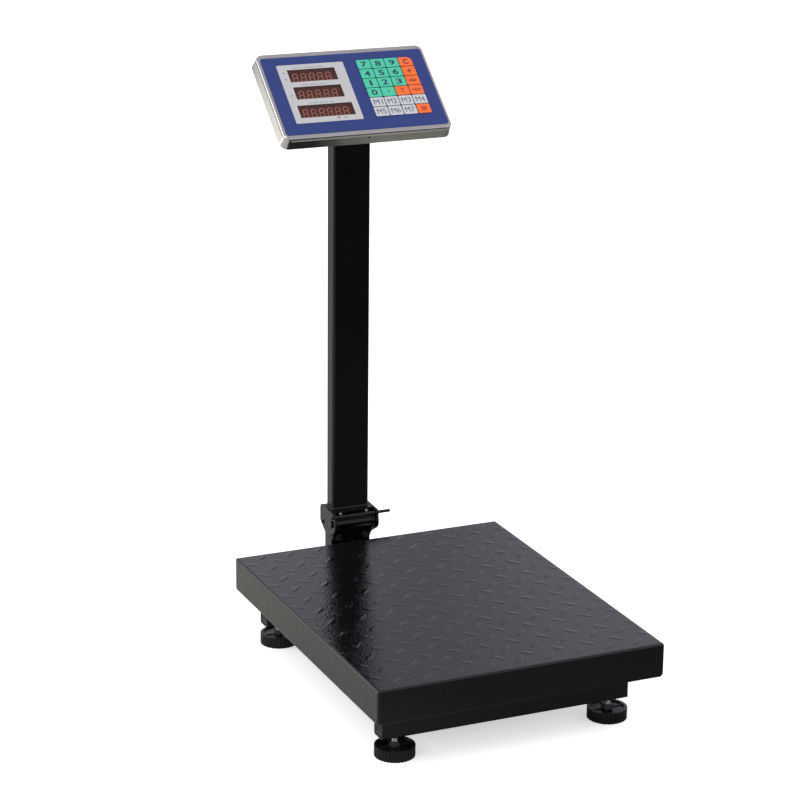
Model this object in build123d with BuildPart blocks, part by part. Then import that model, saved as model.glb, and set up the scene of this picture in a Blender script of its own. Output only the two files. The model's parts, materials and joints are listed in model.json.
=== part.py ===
from build123d import *
from math import cos, radians, sin
import os

# Platform shipping scale: a loose tread-plate deck on a load cell, four screw feet, and a column that
# folds forward over the deck and carries a tilted stainless weighing head.
# Millimetres. The origin is on the floor under the middle of the footprint. X is to the operator's
# right, Y runs from the operator towards the column, Z is up.

# ---- driving dimensions --------------------------------------------------------------------------
total_depth = 625.5
total_height = 793.75

deck_width = 400.0
deck_length = 498.5
deck_top = 117.0
skirt_height = 45.0
deck_sheet = 3.0
deck_corner = 3.0
deck_bend = 2.5

beam_width = 25.0
beam_height = 38.0
beam_wall = 2.0
beam_length = 348.0
beam_bottom = 28.0
front_beam_y = -254.5
rear_beam_y = 144.5
channel_width = 60.0
channel_height = 25.0
channel_wall = 3.0

cell_width = 38.0
cell_length = 150.0
cell_height = 26.0
cell_bolt_reach = 55.0
cell_bolt_pitch = 19.0
spacer = 4.0
spacer_length = 40.0
m3 = 3.0
m4 = 4.0
m5 = 5.0
m8 = 8.0
screw_clearance = 0.2
m8_head = 13.0
m8_head_height = 8.0
m8_hole_gap = 0.4
fit_gap = 0.05
thread_gap = 0.02

frame_tube_height = 20.0
frame_length = 360.0
frame_reach = 191.0
pad_diameter = 24.0
pad_spacing = 160.0

foot_x = 151.0
foot_diameter = 52.5
foot_height = 14.8
foot_ridges = 34
foot_recess_floor = 12.8
foot_hub_top = 19.0
stud_bottom = 4.0
stud_end_gap = 0.2
stud_top = 44.0
nut_width = 13.0
nut_height = 6.5

stub_depth = 25.0
stub_front = 248.5
stub_top = 115.0
stub_wall = 3.0
pivot_y = 239.0
pivot_z = 125.0
ear_radius = 10.0
barrel_radius = 8.0
flange_gap = 1.0
flange_sheet = 3.0
flange_radius = 13.5
bracket_top = 144.0
lip_front = 239.0
lip_bottom = 135.6
rod_y = 232.5
rod_z = 137.0
rod_diameter = 4.5

column_width = 56.0
column_depth = 25.0
column_corner = 5.0
column_wall = 2.0

head_width = 250.8
head_height = 152.4
head_tilt = 40.2
head_corner = 12.0
head_bezel = 6.0
head_depth = 19.0
head_draft = 2.0
head_sheet = 1.2
head_edge = 3.0
rear_box_width = 200.0
rear_box_height = 100.0
rear_box_depth = 38.0
cover_wall = 2.0
bracket_plate = 3.0
bracket_plate_width = 103.0

overlay_sheet = 0.5
board_top = -6.4
board_sheet = 1.6
key_columns = 4
key_rows = 6
key_pitch_x = 20.875
key_pitch_y = 16.68
key_gap = 1.3
keypad_x = 58.75
keypad_y = 2.25
stem = 6.6
key_travel = 0.4
cable = 5.0
cable_way = 9.0

# ---- derived places ------------------------------------------------------------------------------
deck_front = -total_depth / 2
deck_y = deck_front + deck_length / 2
skirt_bottom = deck_top - skirt_height
beam_mid = beam_bottom + beam_height / 2
channel_mid = beam_bottom + channel_height / 2
channel_top = beam_bottom + channel_height
cell_bottom = channel_top + spacer
cell_top = cell_bottom + cell_height
frame_bottom = cell_top + spacer
frame_top = frame_bottom + frame_tube_height
stub_y = stub_front + stub_depth / 2
column_y = stub_y
flange_inner = channel_width / 2 + flange_gap
flange_outer = flange_inner + flange_sheet
front_bolts_y = deck_y - cell_bolt_reach
rear_bolts_y = deck_y + cell_bolt_reach
cell_end = deck_y + cell_length / 2
cable_drop_y = cell_end + 16
cable_run_z = channel_top - channel_wall - 6

tilt_sin = sin(radians(head_tilt))
tilt_cos = cos(radians(head_tilt))
# The rearmost point is the low rear edge of the head shell, and the highest is its rounded rear rim.
head_y = total_depth / 2 - tilt_cos * head_height / 2 - tilt_sin * head_depth
head_z = total_height - tilt_sin * (head_height / 2 - head_draft - head_edge) - head_edge * (1 - tilt_cos)
head_plane = Plane(origin=(0, head_y, head_z), x_dir=(1, 0, 0), z_dir=(0, -tilt_sin, tilt_cos))
plate_top = -rear_box_depth
plate_bottom = plate_top - bracket_plate


def cable_slope(depth):
    """How far up the head's slope the cable, rising in the column's middle, crosses this depth."""
    return (column_y - head_y + tilt_sin * depth) / tilt_cos


windows = [(-51.5, 32.5, 69.5), (-51.5, 2.4, 69.5), (-50.2, -29.4, 79.6)]
window_height = 21.4
display_x = -50.55
display_y = 1.5
display_width = 97.9
display_height = 101.0

key_names = [
    "key_7", "key_8", "key_9", "key_clear",
    "key_4", "key_5", "key_6", "key_add",
    "key_1", "key_2", "key_3", "key_change",
    "key_0", "key_point", "key_tare", "key_zero",
    "key_m1", "key_m2", "key_m3", "key_m4",
    "key_m5", "key_m6", "key_m7", "key_total",
]
key_grid = [
    (
        keypad_x + (column - (key_columns - 1) / 2) * key_pitch_x,
        keypad_y - (row - (key_rows - 1) / 2) * key_pitch_y,
    )
    for row in range(key_rows)
    for column in range(key_columns)
]

os.makedirs("parts", exist_ok=True)


def save(part, name):
    """Label one finished piece and write it as its own file."""
    part.label = name
    export_step(part, f"parts/{name}.step")


def across(y):
    """The upright plane at Y = y, with X and Z as its own directions and +Y behind it."""
    return Plane.XZ.offset(-y)


# ---- base: two cross-beams, a spine and welded foot nuts --------------------------------------------
beam_rows = (front_beam_y, rear_beam_y)
foot_places = [(x, y) for y in beam_rows for x in (-foot_x, foot_x)]

with BuildPart() as base_frame:
    with BuildSketch(Plane.YZ.offset(-beam_length / 2)):
        with Locations(*[(y, beam_mid) for y in beam_rows]):
            RectangleRounded(beam_width, beam_height, 2)
            Rectangle(beam_width - 2 * beam_wall, beam_height - 2 * beam_wall, mode=Mode.SUBTRACT)
    extrude(amount=beam_length)
    # The spine is a channel open at the bottom, in two lengths: beam to beam, then on to the stub.
    for start, end in (
        (front_beam_y + beam_width / 2, rear_beam_y - beam_width / 2),
        (rear_beam_y + beam_width / 2, stub_front),
    ):
        with BuildSketch(across(start)):
            with Locations((0, channel_mid)):
                Rectangle(channel_width, channel_height)
            with Locations((0, channel_mid - channel_wall)):
                Rectangle(channel_width - 2 * channel_wall, channel_height, mode=Mode.SUBTRACT)
        extrude(amount=start - end)
    with BuildSketch(across(stub_front - channel_wall)):
        with Locations((0, channel_mid)):
            Rectangle(channel_width, channel_height)
    extrude(amount=-channel_wall)
    with BuildSketch(Plane.XY.offset(channel_top)):
        with Locations((0, deck_y + (cell_length - spacer_length) / 2)):
            Rectangle(cell_width, spacer_length)
    extrude(amount=spacer)
    with BuildSketch(Plane.XY.offset(beam_bottom + beam_wall)):
        with Locations(*foot_places):
            RegularPolygon(nut_width / 2, 6, major_radius=False)
    extrude(amount=nut_height)
    with BuildSketch(Plane.XY.offset(beam_bottom)):
        with Locations(*foot_places):
            Circle(m8 / 2)
    extrude(amount=beam_wall + nut_height, mode=Mode.SUBTRACT)
    with BuildSketch(Plane.XY.offset(channel_top - channel_wall)):
        with Locations((0, rear_bolts_y)):
            with GridLocations(0, cell_bolt_pitch, 1, 2):
                Circle((m8 + m8_hole_gap) / 2)
        with Locations((0, cable_drop_y)):
            Circle(cable_way / 2)
    extrude(amount=channel_wall + spacer, mode=Mode.SUBTRACT)
    # The cable's way through the rear beam and the end plate.
    with BuildSketch(across(rear_beam_y - beam_width / 2)):
        with Locations((0, cable_run_z)):
            Circle(cable_way / 2)
    extrude(amount=rear_beam_y - beam_width / 2 - stub_front, mode=Mode.SUBTRACT)
save(base_frame.part, "base_frame")

# ---- load cell: a bar with two joined through holes that let its middle bend -----------------------
cell_eye = 8.0
cell_eye_reach = 14.0
cell_thread = 19.0

with BuildPart() as load_cell:
    with BuildSketch(Plane.YZ.offset(-cell_width / 2)):
        with Locations((deck_y, (cell_bottom + cell_top) / 2)):
            Rectangle(cell_length, cell_height)
            with GridLocations(2 * cell_eye_reach, 0, 2, 1):
                Circle(cell_eye, mode=Mode.SUBTRACT)
            Rectangle(2 * cell_eye_reach, cell_eye / 2, mode=Mode.SUBTRACT)
    extrude(amount=cell_width)
    with BuildSketch(Plane.XY.offset(cell_bottom)):
        with Locations((0, rear_bolts_y)):
            with GridLocations(0, cell_bolt_pitch, 1, 2):
                Circle(m8 / 2 + fit_gap)
    extrude(amount=cell_thread, mode=Mode.SUBTRACT)
    with BuildSketch(Plane.XY.offset(cell_top)):
        with Locations((0, front_bolts_y)):
            with GridLocations(0, cell_bolt_pitch, 1, 2):
                Circle(m8 / 2 + fit_gap)
    extrude(amount=-cell_thread, mode=Mode.SUBTRACT)
save(load_cell.part, "load_cell")


def cell_bolts(name, y, seat, direction):
    """Two socket bolts: heads beyond the seat plane, shanks running from it the other way."""
    with BuildPart() as bolts:
        with BuildSketch(Plane.XY.offset(seat)):
            with Locations((0, y)):
                with GridLocations(0, cell_bolt_pitch, 1, 2):
                    Circle(m8_head / 2)
        extrude(amount=-direction * m8_head_height)
        with BuildSketch(Plane.XY.offset(seat - direction * m8_head_height)):
            with Locations((0, y)):
                with GridLocations(0, cell_bolt_pitch, 1, 2):
                    RegularPolygon(3.0, 6, major_radius=False)
        extrude(amount=direction * m8_head_height / 2, mode=Mode.SUBTRACT)
        with BuildSketch(Plane.XY.offset(seat)):
            with Locations((0, y)):
                with GridLocations(0, cell_bolt_pitch, 1, 2):
                    Circle(m8 / 2)
        extrude(amount=direction * (channel_wall + spacer + cell_thread - 1))
    save(bolts.part, name)


cell_bolts("load_cell_bolts_lower", rear_bolts_y, channel_top - channel_wall, 1)
cell_bolts("load_cell_bolts_upper", front_bolts_y, frame_bottom + channel_wall, -1)

# ---- platform frame: the same H shape above the load cell, channel open at the top ------------------
with BuildPart() as platform_frame:
    with BuildSketch(Plane.YZ.offset(-frame_length / 2)):
        with Locations((deck_y, (frame_bottom + frame_top) / 2)):
            with GridLocations(2 * frame_reach, 0, 2, 1):
                RectangleRounded(beam_width, frame_tube_height, 2)
                Rectangle(
                    beam_width - 2 * beam_wall,
                    frame_tube_height - 2 * beam_wall,
                    mode=Mode.SUBTRACT,
                )
    extrude(amount=frame_length)
    with BuildSketch(across(deck_y - frame_reach + beam_width / 2)):
        with Locations((0, (frame_bottom + frame_top) / 2)):
            Rectangle(channel_width, frame_tube_height)
        with Locations((0, (frame_bottom + frame_top) / 2 + channel_wall)):
            Rectangle(channel_width - 2 * channel_wall, frame_tube_height, mode=Mode.SUBTRACT)
    extrude(amount=beam_width - 2 * frame_reach)
    with BuildSketch(Plane.XY.offset(cell_top)):
        with Locations((0, deck_y - (cell_length - spacer_length) / 2)):
            Rectangle(cell_width, spacer_length)
    extrude(amount=spacer)
    with BuildSketch(Plane.XY.offset(cell_top)):
        with Locations((0, front_bolts_y)):
            with GridLocations(0, cell_bolt_pitch, 1, 2):
                Circle((m8 + m8_hole_gap) / 2)
    extrude(amount=spacer + channel_wall, mode=Mode.SUBTRACT)
save(platform_frame.part, "platform_frame")

with BuildPart() as platform_pads:
    with BuildSketch(Plane.XY.offset(frame_top)):
        with Locations((0, deck_y)):
            with GridLocations(pad_spacing, 2 * frame_reach, 3, 2):
                Circle(pad_diameter / 2)
    extrude(amount=deck_top - deck_sheet - frame_top, taper=8)
save(platform_pads.part, "platform_pads")

# ---- deck cover: a folded sheet tray, open at the bottom -------------------------------------------
with BuildPart() as deck_cover:
    with BuildSketch(Plane.XY.offset(skirt_bottom)):
        with Locations((0, deck_y)):
            Rectangle(deck_width, deck_length)
    extrude(amount=skirt_height)
    fillet(deck_cover.edges().filter_by(Axis.Z), radius=deck_corner)
    fillet(deck_cover.faces().sort_by(Axis.Z)[-1].edges(), radius=deck_bend)
    with BuildSketch(Plane.XY.offset(skirt_bottom)):
        with Locations((0, deck_y)):
            Rectangle(deck_width - 2 * deck_sheet, deck_length - 2 * deck_sheet)
    extrude(amount=skirt_height - deck_sheet, mode=Mode.SUBTRACT)
save(deck_cover.part, "deck_cover")


# ---- screw feet ------------------------------------------------------------------------------------
def foot(name, x, y):
    """A ridged pad with a raised hub, turning on a plain-shank stud that rises into the beam's nut."""
    ridge_depth = 1.2
    wall = 4.0
    rib = 2.0
    rib_height = 1.2
    hub_foot_radius = 8.0
    hub_taper = 14
    with BuildPart() as pad:
        with BuildSketch():
            with Locations((x, y)):
                Circle(foot_diameter / 2)
                with PolarLocations(foot_diameter / 2, foot_ridges):
                    Circle(ridge_depth, mode=Mode.SUBTRACT)
        extrude(amount=foot_height)
        with BuildSketch(Plane.XY.offset(foot_height)):
            with Locations((x, y)):
                Circle(foot_diameter / 2 - wall)
        extrude(amount=foot_recess_floor - foot_height, mode=Mode.SUBTRACT)
        with BuildSketch(Plane.XY.offset(foot_recess_floor)):
            with Locations((x, y)):
                Rectangle(foot_diameter - 2 * wall, rib)
                Rectangle(rib, foot_diameter - 2 * wall)
        extrude(amount=rib_height)
        with BuildSketch(Plane.XY.offset(foot_recess_floor)):
            with Locations((x, y)):
                Circle(hub_foot_radius)
        extrude(amount=foot_hub_top - foot_recess_floor, taper=hub_taper)
        with BuildSketch(Plane.XY.offset(stud_bottom)):
            with Locations((x, y)):
                Circle(m8 / 2 + fit_gap)
        extrude(amount=foot_hub_top - stud_bottom, mode=Mode.SUBTRACT)
    save(pad.part, f"foot_pad_{name}")
    with BuildPart() as stud:
        with BuildSketch(Plane.XY.offset(stud_bottom + stud_end_gap)):
            with Locations((x, y)):
                Circle(m8 / 2 - thread_gap)
        extrude(amount=stud_top - stud_bottom - stud_end_gap)
        chamfer(stud.faces().sort_by(Axis.Z)[-1].edges(), length=1)
    save(stud.part, f"foot_stud_{name}")


for foot_name, (x, y) in zip(("front_left", "front_right", "rear_left", "rear_right"), foot_places):
    foot(foot_name, x, y)

# ---- column stub with the lower hinge ears and barrel ----------------------------------------------
web_bottom = 95.0
web_top = 113.0
web_sheet = 3.0
stub_screw_z = 101.0
stub_screw_x = 20.0

with BuildPart() as column_stub:
    with BuildSketch(Plane.XY.offset(beam_bottom)):
        with Locations((0, stub_y)):
            RectangleRounded(channel_width, stub_depth, 1.5)
            Rectangle(channel_width - 2 * stub_wall, stub_depth - 2 * stub_wall, mode=Mode.SUBTRACT)
    extrude(amount=stub_top - beam_bottom)
    for side in (-channel_width / 2, channel_width / 2 - stub_wall):
        with BuildSketch(Plane.YZ.offset(side)):
            with Locations((pivot_y, pivot_z)):
                Circle(ear_radius)
            with Locations((stub_front + 4, web_bottom + 4)):
                Circle(4)
            with Locations((stub_front + 13, stub_top + 3)):
                Circle(6)
            make_hull()
        extrude(amount=stub_wall)
    with BuildSketch(Plane.YZ.offset(-channel_width / 2 + stub_wall)):
        with Locations((pivot_y, pivot_z)):
            Circle(barrel_radius)
    extrude(amount=channel_width - 2 * stub_wall)
    with BuildSketch(across(stub_front - web_sheet)):
        with Locations((0, (web_bottom + web_top) / 2)):
            Rectangle(channel_width - 2 * stub_wall, web_top - web_bottom)
    extrude(amount=-web_sheet)
    with BuildSketch(Plane.YZ.offset(-channel_width / 2)):
        with Locations((pivot_y, pivot_z)):
            Circle(m8 / 2 + thread_gap)
    extrude(amount=channel_width, mode=Mode.SUBTRACT)
    with BuildSketch(across(stub_front - web_sheet)):
        with Locations((-stub_screw_x, stub_screw_z), (stub_screw_x, stub_screw_z)):
            Circle(m5 / 2 + thread_gap)
        with Locations((0, cable_run_z)):
            Circle(cable_way / 2)
    extrude(amount=-web_sheet - stub_wall, mode=Mode.SUBTRACT)
save(column_stub.part, "column_stub")


def button_screws(name, plane, places, shank, length, head, head_height):
    """Button-head screws at places on a plane, heads on its front side, shanks running behind it."""
    with BuildPart() as screws:
        with BuildSketch(plane):
            with Locations(*places):
                Circle(head / 2)
        extrude(amount=head_height)
        tops = screws.faces().sort_by(Axis(plane.origin, plane.z_dir))[-len(places):]
        fillet(tops.edges(), radius=head_height * 0.6)
        with BuildSketch(plane.offset(head_height)):
            with Locations(*places):
                RegularPolygon(shank * 0.3, 6, major_radius=False)
        extrude(amount=-head_height / 2, mode=Mode.SUBTRACT)
        with BuildSketch(plane):
            with Locations(*places):
                Circle(shank / 2)
        extrude(amount=-length)
    save(screws.part, name)


button_screws(
    "stub_screws",
    across(stub_front - web_sheet),
    [(-stub_screw_x, stub_screw_z), (stub_screw_x, stub_screw_z)],
    shank=m5,
    length=web_sheet + stub_wall + 2,
    head=9.5,
    head_height=2.6,
)

# ---- hinge: pin, upper bracket, locking rod --------------------------------------------------------
pin_head = 11.0
pin_head_height = 2.5
pin_head_edge = 1.2
pin_reach = flange_outer + 0.3

with BuildPart() as hinge_pin:
    with BuildSketch(Plane.YZ.offset(-pin_reach)):
        with Locations((pivot_y, pivot_z)):
            Circle(m8 / 2)
    extrude(amount=2 * pin_reach)
    for start, length in ((-pin_reach, -pin_head_height), (pin_reach, pin_head_height)):
        with BuildSketch(Plane.YZ.offset(start)):
            with Locations((pivot_y, pivot_z)):
                Circle(pin_head / 2)
        extrude(amount=length)
    fillet(hinge_pin.faces().sort_by(Axis.X)[0].edges(), radius=pin_head_edge)
    fillet(hinge_pin.faces().sort_by(Axis.X)[-1].edges(), radius=pin_head_edge)
save(hinge_pin.part, "hinge_pin")

flange_back = 281.5
flange_low_z = 101.0
slot_y = 267.0
slot_z = 120.5
slot_length = 9.0
slot_width = 5.0
slot_slope = -32
slot_sink = 1.6
lip_screw_x = 20.0
lip_screw_z = 139.0
cable_hole = 12.0

with BuildPart() as hinge_bracket:
    for side in (-flange_outer, flange_inner):
        with BuildSketch(Plane.YZ.offset(side)):
            with Locations((pivot_y, pivot_z)):
                Circle(flange_radius)
            with Locations((rod_y, rod_z)):
                Circle(rod_diameter / 2 + 3)
            with Locations((stub_front + 6, flange_low_z + 4)):
                Circle(4)
            with Locations((flange_back - 4, stub_top + 6)):
                Circle(4)
            with Locations((flange_back - 6, bracket_top - 6)):
                Circle(6)
            make_hull()
            with Locations((pivot_y, pivot_z)):
                Circle(m8 / 2 + fit_gap, mode=Mode.SUBTRACT)
            with Locations((rod_y, rod_z)):
                Circle(rod_diameter / 2 + fit_gap, mode=Mode.SUBTRACT)
        extrude(amount=flange_sheet)
    with BuildSketch(Plane.YZ.offset(-flange_outer)):
        with Locations((slot_y, slot_z)):
            SlotCenterToCenter(slot_length, slot_width, rotation=slot_slope)
    extrude(amount=slot_sink, mode=Mode.SUBTRACT)
    with BuildSketch(Plane.XY.offset(bracket_top - flange_sheet)):
        with Locations((0, (lip_front + flange_back - 6) / 2)):
            Rectangle(2 * flange_inner, flange_back - 6 - lip_front)
        with Locations((0, column_y)):
            Circle(cable_hole / 2, mode=Mode.SUBTRACT)
    extrude(amount=flange_sheet)
    with BuildSketch(across(lip_front)):
        with Locations((0, (lip_bottom + bracket_top) / 2)):
            Rectangle(2 * flange_inner - 1, bracket_top - lip_bottom)
    extrude(amount=-flange_sheet)
    with BuildSketch(across(lip_front)):
        with Locations((-lip_screw_x, lip_screw_z), (lip_screw_x, lip_screw_z)):
            Circle(m3 / 2 + thread_gap)
    extrude(amount=-2 * flange_sheet, mode=Mode.SUBTRACT)
save(hinge_bracket.part, "hinge_bracket")

button_screws(
    "bracket_screws",
    across(lip_front),
    [(-lip_screw_x, lip_screw_z), (lip_screw_x, lip_screw_z)],
    shank=m3,
    length=2 * flange_sheet - 0.5,
    head=4.4,
    head_height=1.4,
)

rod_left = -38.0
rod_tip_x = 54.0
rod_tip_edge = 1.2
collar_gap = 0.2
collar_rise = 1.2
collar_width = 1.5

with BuildPart() as lock_rod:
    with BuildSketch(Plane.YZ.offset(rod_left)):
        with Locations((rod_y, rod_z)):
            Circle(rod_diameter / 2)
    extrude(amount=rod_tip_x - rod_left)
    # A collar on each side keeps the rod from sliding out of the flanges.
    for side in (-1, 1):
        with BuildSketch(Plane.YZ.offset(side * (flange_outer + collar_gap))):
            with Locations((rod_y, rod_z)):
                Circle(rod_diameter / 2 + collar_rise)
        extrude(amount=side * collar_width)
    fillet(lock_rod.faces().sort_by(Axis.X)[-1].edges(), radius=rod_tip_edge)
save(lock_rod.part, "lock_rod")

# ---- column tube, cut to the head's slope ----------------------------------------------------------
with BuildPart() as column_tube:
    with BuildSketch(Plane.XY.offset(bracket_top)):
        with Locations((0, column_y)):
            RectangleRounded(column_width, column_depth, column_corner)
            RectangleRounded(
                column_width - 2 * column_wall,
                column_depth - 2 * column_wall,
                column_corner - column_wall,
                mode=Mode.SUBTRACT,
            )
    extrude(amount=total_height - bracket_top)
    split(bisect_by=head_plane.offset(plate_bottom), keep=Keep.BOTTOM)
save(column_tube.part, "column_tube")

# ---- head bracket plate ----------------------------------------------------------------------------
plate_low = -55.0
plate_high = 44.0
plate_screws = [(x, y) for x in (-40.0, 40.0) for y in (-35.0, 35.0)]
boss_radius = 4.0
boss_height = 8.0

with BuildPart() as head_bracket:
    with BuildSketch(head_plane.offset(plate_bottom)):
        with Locations((0, (plate_low + plate_high) / 2)):
            RectangleRounded(bracket_plate_width, plate_high - plate_low, 6)
        with Locations(*plate_screws):
            Circle(m4 / 2 + screw_clearance, mode=Mode.SUBTRACT)
        with Locations((0, cable_slope(plate_bottom + bracket_plate / 2))):
            Circle(cable_hole / 2, mode=Mode.SUBTRACT)
    extrude(amount=bracket_plate)
save(head_bracket.part, "head_bracket")

under_plate = Plane(
    origin=head_plane.from_local_coords((0, 0, plate_bottom)), x_dir=(1, 0, 0), z_dir=-head_plane.z_dir
)
button_screws(
    "head_bracket_screws",
    under_plate,
    [(x, -y) for x, y in plate_screws],
    shank=m4,
    length=bracket_plate + cover_wall + boss_height - 1,
    head=7.6,
    head_height=2.2,
)

# ---- stainless head shell --------------------------------------------------------------------------
post_places = [(x, y) for x in (-112.0, 112.0) for y in (-63.0, 63.0)]
cover_flange = 2.0
head_axis = Axis(head_plane.origin, head_plane.z_dir)
seal_hole = 3.0
seal_depth = 8.0


def shell_block(depth_top, wall):
    """The head's outer form, or its hollow when wall is more than zero. It narrows towards its face."""
    rim = wall + head_draft
    low_outline = (head_width - 2 * wall, head_height - 2 * wall, head_corner - wall)
    rim_outline = (head_width - 2 * rim, head_height - 2 * rim, head_corner - rim)
    with BuildPart(mode=Mode.PRIVATE) as block:
        with BuildSketch(head_plane.offset(-head_depth)):
            RectangleRounded(*low_outline)
        with BuildSketch(head_plane.offset(-head_bezel)):
            RectangleRounded(*rim_outline)
        loft()
        with BuildSketch(head_plane.offset(-head_bezel)):
            RectangleRounded(*rim_outline)
        extrude(amount=head_bezel + depth_top)
        front = block.faces().sort_by(head_axis)[-1]
        fillet(front.edges(), radius=head_edge - wall)
    return block.part


shell_outside = shell_block(0, 0)
shell_hollow = shell_block(-head_sheet, head_sheet)

with BuildPart() as head_shell:
    add(shell_outside)
    add(shell_hollow, mode=Mode.SUBTRACT)
    # One small hole in the middle of the front wall.
    front_wall = Plane(
        origin=head_plane.from_local_coords((0, -head_height / 2, -seal_depth)),
        x_dir=(1, 0, 0),
        z_dir=head_plane.y_dir,
    )
    with BuildSketch(front_wall):
        Circle(seal_hole / 2)
    extrude(amount=head_draft + 2 * head_sheet, mode=Mode.SUBTRACT)
    with BuildSketch(head_plane.offset(-head_depth + cover_flange)):
        with Locations(*post_places):
            Circle(boss_radius)
    extrude(amount=head_depth - cover_flange - head_sheet)
    with BuildSketch(head_plane.offset(-head_depth)):
        with Locations(*post_places):
            Circle(m3 / 2 + thread_gap)
    extrude(amount=head_depth - head_sheet - 1, mode=Mode.SUBTRACT)
    with BuildSketch(head_plane.offset(-head_sheet)):
        with Locations((display_x, display_y)):
            Rectangle(display_width - 6, display_height - 6)
        with Locations(*key_grid):
            Rectangle(stem + 0.6, stem + 0.6)
    extrude(amount=2 * head_sheet, mode=Mode.SUBTRACT)
save(head_shell.part, "head_shell")

# ---- keypad overlay and keys -----------------------------------------------------------------------
overlay_width = 238.0
overlay_height = 133.4
overlay_y = -0.8

with BuildPart() as front_overlay:
    with BuildSketch(head_plane):
        with Locations((0, overlay_y)):
            RectangleRounded(overlay_width, overlay_height, 4)
        with Locations((display_x, display_y)):
            Rectangle(display_width + 0.2, display_height + 0.2, mode=Mode.SUBTRACT)
        with Locations(*key_grid):
            Rectangle(stem + 0.6, stem + 0.6, mode=Mode.SUBTRACT)
    extrude(amount=overlay_sheet)
save(front_overlay.part, "front_overlay")

key_low = overlay_sheet + key_travel + 0.05
key_high = key_low + 0.8
key_corner = 1.2
clear_corner = 8.0
dome_height = 0.55
stem_low = board_top + dome_height + key_travel + 0.1


def key(name, place):
    """One key cap with its square stem. The clear key has a large outer corner."""
    half_x = (key_pitch_x - key_gap) / 2
    half_y = (key_pitch_y - key_gap) / 2
    with BuildPart() as cap:
        with BuildSketch(head_plane.offset(key_low)) as outline:
            with Locations(place):
                Rectangle(2 * half_x, 2 * half_y)
            # Sorting along the diagonal leaves the upper right corner last.
            corners = outline.vertices().sort_by(Axis((0, 0, 0), (1, 1, 0)))
            fillet(corners[:-1], radius=key_corner)
            last_corner = outline.vertices().sort_by(Axis((0, 0, 0), (1, 1, 0)))[-1]
            fillet(last_corner, radius=clear_corner if name == "key_clear" else key_corner)
        extrude(amount=key_high - key_low)
        with BuildSketch(head_plane.offset(stem_low)):
            with Locations(place):
                Rectangle(stem, stem)
        extrude(amount=key_low - stem_low)
    save(cap.part, name)


for key_name, place in zip(key_names, key_grid):
    key(key_name, place)

# ---- display: pale frame, smoked windows, digit modules --------------------------------------------
frame_sheet = 0.7
window_sheet = 1.4
window_gap = 0.1
window_set_in = 0.1
module_margin = 1.0
module_gap = 0.2

with BuildPart() as display_panel:
    with BuildSketch(head_plane):
        with Locations((display_x, display_y)):
            RectangleRounded(display_width, display_height, 2)
        for x, y, width in windows:
            with Locations((x, y)):
                Rectangle(width, window_height, mode=Mode.SUBTRACT)
    extrude(amount=frame_sheet)
save(display_panel.part, "display_panel")

with BuildPart() as display_windows:
    with BuildSketch(head_plane.offset(frame_sheet - window_set_in - window_sheet)):
        for x, y, width in windows:
            with Locations((x, y)):
                Rectangle(width - 2 * window_gap, window_height - 2 * window_gap)
    extrude(amount=window_sheet)
save(display_windows.part, "display_windows")

with BuildPart() as digit_modules:
    with BuildSketch(head_plane.offset(board_top)):
        for x, y, width in windows:
            with Locations((x, y)):
                Rectangle(width + 2 * module_margin, window_height + 2 * module_margin)
    extrude(amount=frame_sheet - window_set_in - window_sheet - module_gap - board_top)
save(digit_modules.part, "digit_modules")

# ---- main board with its dome switches and cable plug ----------------------------------------------
board_bottom = board_top - board_sheet
board_width = 212.0
board_height = 112.0
board_posts = [(x, y) for x in (-100.0, 100.0) for y in (-52.0, 52.0)]
plug_place = (0, -45)
chip_places = [(60, -40), (70, 20)]
chip_size = 12
part_height = 3.5
dome_radius = 3.2

with BuildPart() as main_board:
    with BuildSketch(head_plane.offset(board_bottom)):
        RectangleRounded(board_width, board_height, 2)
        with Locations(*board_posts):
            Circle(m3 / 2 + screw_clearance, mode=Mode.SUBTRACT)
    extrude(amount=board_sheet)
    with BuildSketch(head_plane.offset(board_top)):
        with Locations(*key_grid):
            Circle(dome_radius)
    extrude(amount=dome_height, taper=30)
    with BuildSketch(head_plane.offset(board_bottom)):
        with Locations(plug_place):
            Rectangle(14, 7)
        with Locations(*chip_places):
            Rectangle(chip_size, chip_size)
    extrude(amount=-part_height)
save(main_board.part, "main_board")

# ---- rear cover: a flange that closes the shell and a box for the battery --------------------------
switch_x = 60.0
switch_depth = 28.5
switch_slot = 19.2
switch_height = 13.0
switch_pin = 3.0
switch_lug = 1.5
switch_frame = 1.2
post_radius = 3.0
box_half = rear_box_height / 2
pin_y = box_half - 3

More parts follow.
